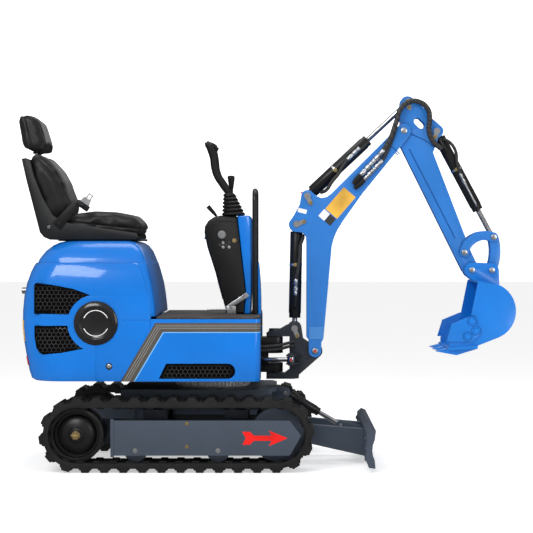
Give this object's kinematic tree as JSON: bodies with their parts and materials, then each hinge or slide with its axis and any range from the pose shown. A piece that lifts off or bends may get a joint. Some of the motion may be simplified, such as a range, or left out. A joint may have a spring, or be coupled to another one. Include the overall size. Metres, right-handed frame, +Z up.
{
  "type": "mini excavator",
  "caption": "Compact blue tracked mini excavator with an open operator's seat, swing boom, arm, bucket and dozer blade.",
  "frame": {"origin": "centre of the bounding box at ground level, under the tracks", "axes": "+X forward towards the bucket and blade, +Y to the operator's left, +Z up"},
  "size_m": [2.3061, 0.93, 1.7129],
  "materials": {
    "slate_paint": "satin",
    "black_paint": "satin",
    "gloss_blue": "gloss",
    "satin_blue": "satin",
    "track_rubber": "matte",
    "floor_rubber": "matte",
    "black_plastic": "matte",
    "black_vinyl": "satin",
    "chrome_rod": "polished",
    "steel": "satin"
  },
  "bodies": {
    "undercarriage": {"centre_frame": "slate_paint", "slew_ring": "steel", "track_frame_left": "slate_paint", "track_frame_right": "slate_paint", "rubber_track_left": "track_rubber", "rubber_track_right": "track_rubber", "drive_wheel_left": "black_paint", "drive_wheel_right": "black_paint"},
    "blade": {"dozer_blade": "slate_paint"},
    "blade_cylinder": {"blade_cylinder_barrel": "black_paint"},
    "blade_rod": {"blade_cylinder_rod": "chrome_rod"},
    "upper": {"platform": "black_paint", "floor_mat": "floor_rubber", "engine_block": "steel", "engine_hood": "gloss_blue", "seat_plinth": "gloss_blue", "side_cover_left": "gloss_blue", "side_cover_right": "gloss_blue", "side_grille_left": "black_plastic", "side_grille_right": "black_plastic", "deck_skirt_left": "gloss_blue", "deck_skirt_right": "gloss_blue", "skirt_vent_left": "black_plastic", "skirt_vent_right": "black_plastic", "seat_rails": "black_paint", "seat_shell": "black_plastic", "seat_cushion": "black_vinyl", "seat_backrest": "black_vinyl", "headrest": "black_vinyl", "console_body": "black_plastic", "console_cover": "gloss_blue", "front_panel": "gloss_blue", "guard_hoop": "black_paint", "joystick_left": "black_plastic", "joystick_right": "black_plastic", "travel_levers": "black_plastic"},
    "rear_door": {"rear_door": "gloss_blue"},
    "swing_bracket": {"swing_bracket": "slate_paint"},
    "swing_cylinder": {"swing_cylinder_barrel": "black_paint"},
    "swing_rod": {"swing_cylinder_rod": "chrome_rod"},
    "boom": {"boom": "satin_blue"},
    "boom_cylinder": {"boom_cylinder_barrel": "black_paint"},
    "boom_rod": {"boom_cylinder_rod": "chrome_rod"},
    "arm": {"arm": "satin_blue"},
    "arm_cylinder": {"arm_cylinder_barrel": "black_paint"},
    "arm_rod": {"arm_cylinder_rod": "chrome_rod"},
    "bucket_cylinder": {"bucket_cylinder_barrel": "black_paint"},
    "bucket_rod": {"bucket_cylinder_rod": "chrome_rod"},
    "rocker": {"bucket_rocker": "satin_blue"},
    "bucket": {"bucket": "satin_blue"},
    "bucket_link": {"bucket_link": "satin_blue"}
  },
  "joints": [
    {"name": "slew", "type": "hinge", "parent": "undercarriage", "child": "upper", "pos_m": [-0.2495, 0, 0.39], "axis": [0, 0, 1], "continuous": true},
    {"name": "boom_swing", "type": "hinge", "parent": "upper", "child": "swing_bracket", "pos_m": [0.0405, 0, 0.4765], "axis": [0, 0, 1], "range_deg": [-50, 50]},
    {"name": "boom_lift", "type": "hinge", "parent": "swing_bracket", "child": "boom", "pos_m": [0.2315, 0, 0.514], "axis": [0, 1, 0], "range_deg": [0, 100]},
    {"name": "arm_swing", "type": "hinge", "parent": "boom", "child": "arm", "pos_m": [0.6495, 0, 1.549], "axis": [0, -1, 0], "range_deg": [-25, 93]},
    {"name": "bucket_curl", "type": "hinge", "parent": "arm", "child": "bucket", "pos_m": [0.9685, 0, 0.894], "axis": [0, 1, 0], "range_deg": [-60, 90]},
    {"name": "blade_lift", "type": "hinge", "parent": "undercarriage", "child": "blade", "pos_m": [0.0505, 0, 0.16], "axis": [0, -1, 0], "range_deg": [-20, 25]},
    {"name": "rear_door_hinge", "type": "hinge", "parent": "upper", "child": "rear_door", "pos_m": [-1.1175, 0.246, 0.56], "axis": [0, 0, -1], "range_deg": [0, 100]},
    {"name": "boom_cylinder_pin", "type": "hinge", "parent": "boom", "child": "boom_cylinder", "pos_m": [0.1455, 0, 1.11], "axis": [0, 1, 0], "range_deg": [-2, 1]},
    {"name": "boom_cylinder_stroke", "type": "slide", "parent": "boom_cylinder", "child": "boom_rod", "axis": [-0.0204, 0, -0.9998], "range_m": [-0.002, 0.222]},
    {"name": "arm_cylinder_pin", "type": "hinge", "parent": "boom", "child": "arm_cylinder", "pos_m": [0.1955, 0, 1.242], "axis": [0, -1, 0], "range_deg": [-2.5, 6.5]},
    {"name": "arm_cylinder_stroke", "type": "slide", "parent": "arm_cylinder", "child": "arm_rod", "axis": [0.7305, 0, 0.6829], "range_m": [-0.198, 0.056]},
    {"name": "bucket_cylinder_pin", "type": "hinge", "parent": "arm", "child": "bucket_cylinder", "pos_m": [0.8055, 0, 1.548], "axis": [0, 1, 0], "range_deg": [-2.5, 3]},
    {"name": "bucket_cylinder_stroke", "type": "slide", "parent": "bucket_cylinder", "child": "bucket_rod", "axis": [0.4704, 0, -0.8825], "range_m": [-0.085, 0.126]},
    {"name": "rocker_pin", "type": "hinge", "parent": "arm", "child": "rocker", "pos_m": [0.933, 0, 0.977], "axis": [0, 1, 0], "range_deg": [-38, 57]},
    {"name": "bucket_link_pin", "type": "hinge", "parent": "bucket", "child": "bucket_link", "pos_m": [1.0625, 0, 0.893], "axis": [0, 1, 0], "range_deg": [-53, 36]},
    {"name": "blade_cylinder_pin", "type": "hinge", "parent": "undercarriage", "child": "blade_cylinder", "pos_m": [0.0915, 0, 0.316], "axis": [0, -1, 0], "range_deg": [-19, 24]},
    {"name": "blade_cylinder_stroke", "type": "slide", "parent": "blade_cylinder", "child": "blade_rod", "axis": [0.8613, 0, -0.5082], "range_m": [-0.07, 0.056]},
    {"name": "swing_cylinder_pin", "type": "hinge", "parent": "upper", "child": "swing_cylinder", "pos_m": [-0.3495, -0.09, 0.4765], "axis": [0, 0, 1], "range_deg": [-8, 8]},
    {"name": "swing_cylinder_stroke", "type": "slide", "parent": "swing_cylinder", "child": "swing_rod", "axis": [1, 0, 0], "range_m": [-0.074, 0.074]}
  ],
  "couplings": [
    {"joint": "boom_cylinder_pin", "follows": "boom_lift", "ratio": -0.0107},
    {"joint": "boom_cylinder_stroke", "follows": "boom_lift", "m_per_rad": 0.1251},
    {"joint": "arm_cylinder_pin", "follows": "arm_swing", "ratio": 0.06},
    {"joint": "arm_cylinder_stroke", "follows": "arm_swing", "m_per_rad": -0.12},
    {"joint": "bucket_cylinder_pin", "follows": "bucket_curl", "ratio": 0.025},
    {"joint": "bucket_cylinder_stroke", "follows": "bucket_curl", "m_per_rad": 0.0788},
    {"joint": "rocker_pin", "follows": "bucket_curl", "ratio": 0.61},
    {"joint": "bucket_link_pin", "follows": "bucket_curl", "ratio": -0.57},
    {"joint": "blade_cylinder_pin", "follows": "blade_lift", "ratio": 0.89},
    {"joint": "blade_cylinder_stroke", "follows": "blade_lift", "m_per_rad": -0.155},
    {"joint": "swing_cylinder_pin", "follows": "boom_swing", "ratio": 0.143},
    {"joint": "swing_cylinder_stroke", "follows": "boom_swing", "m_per_rad": 0.083}
  ]
}
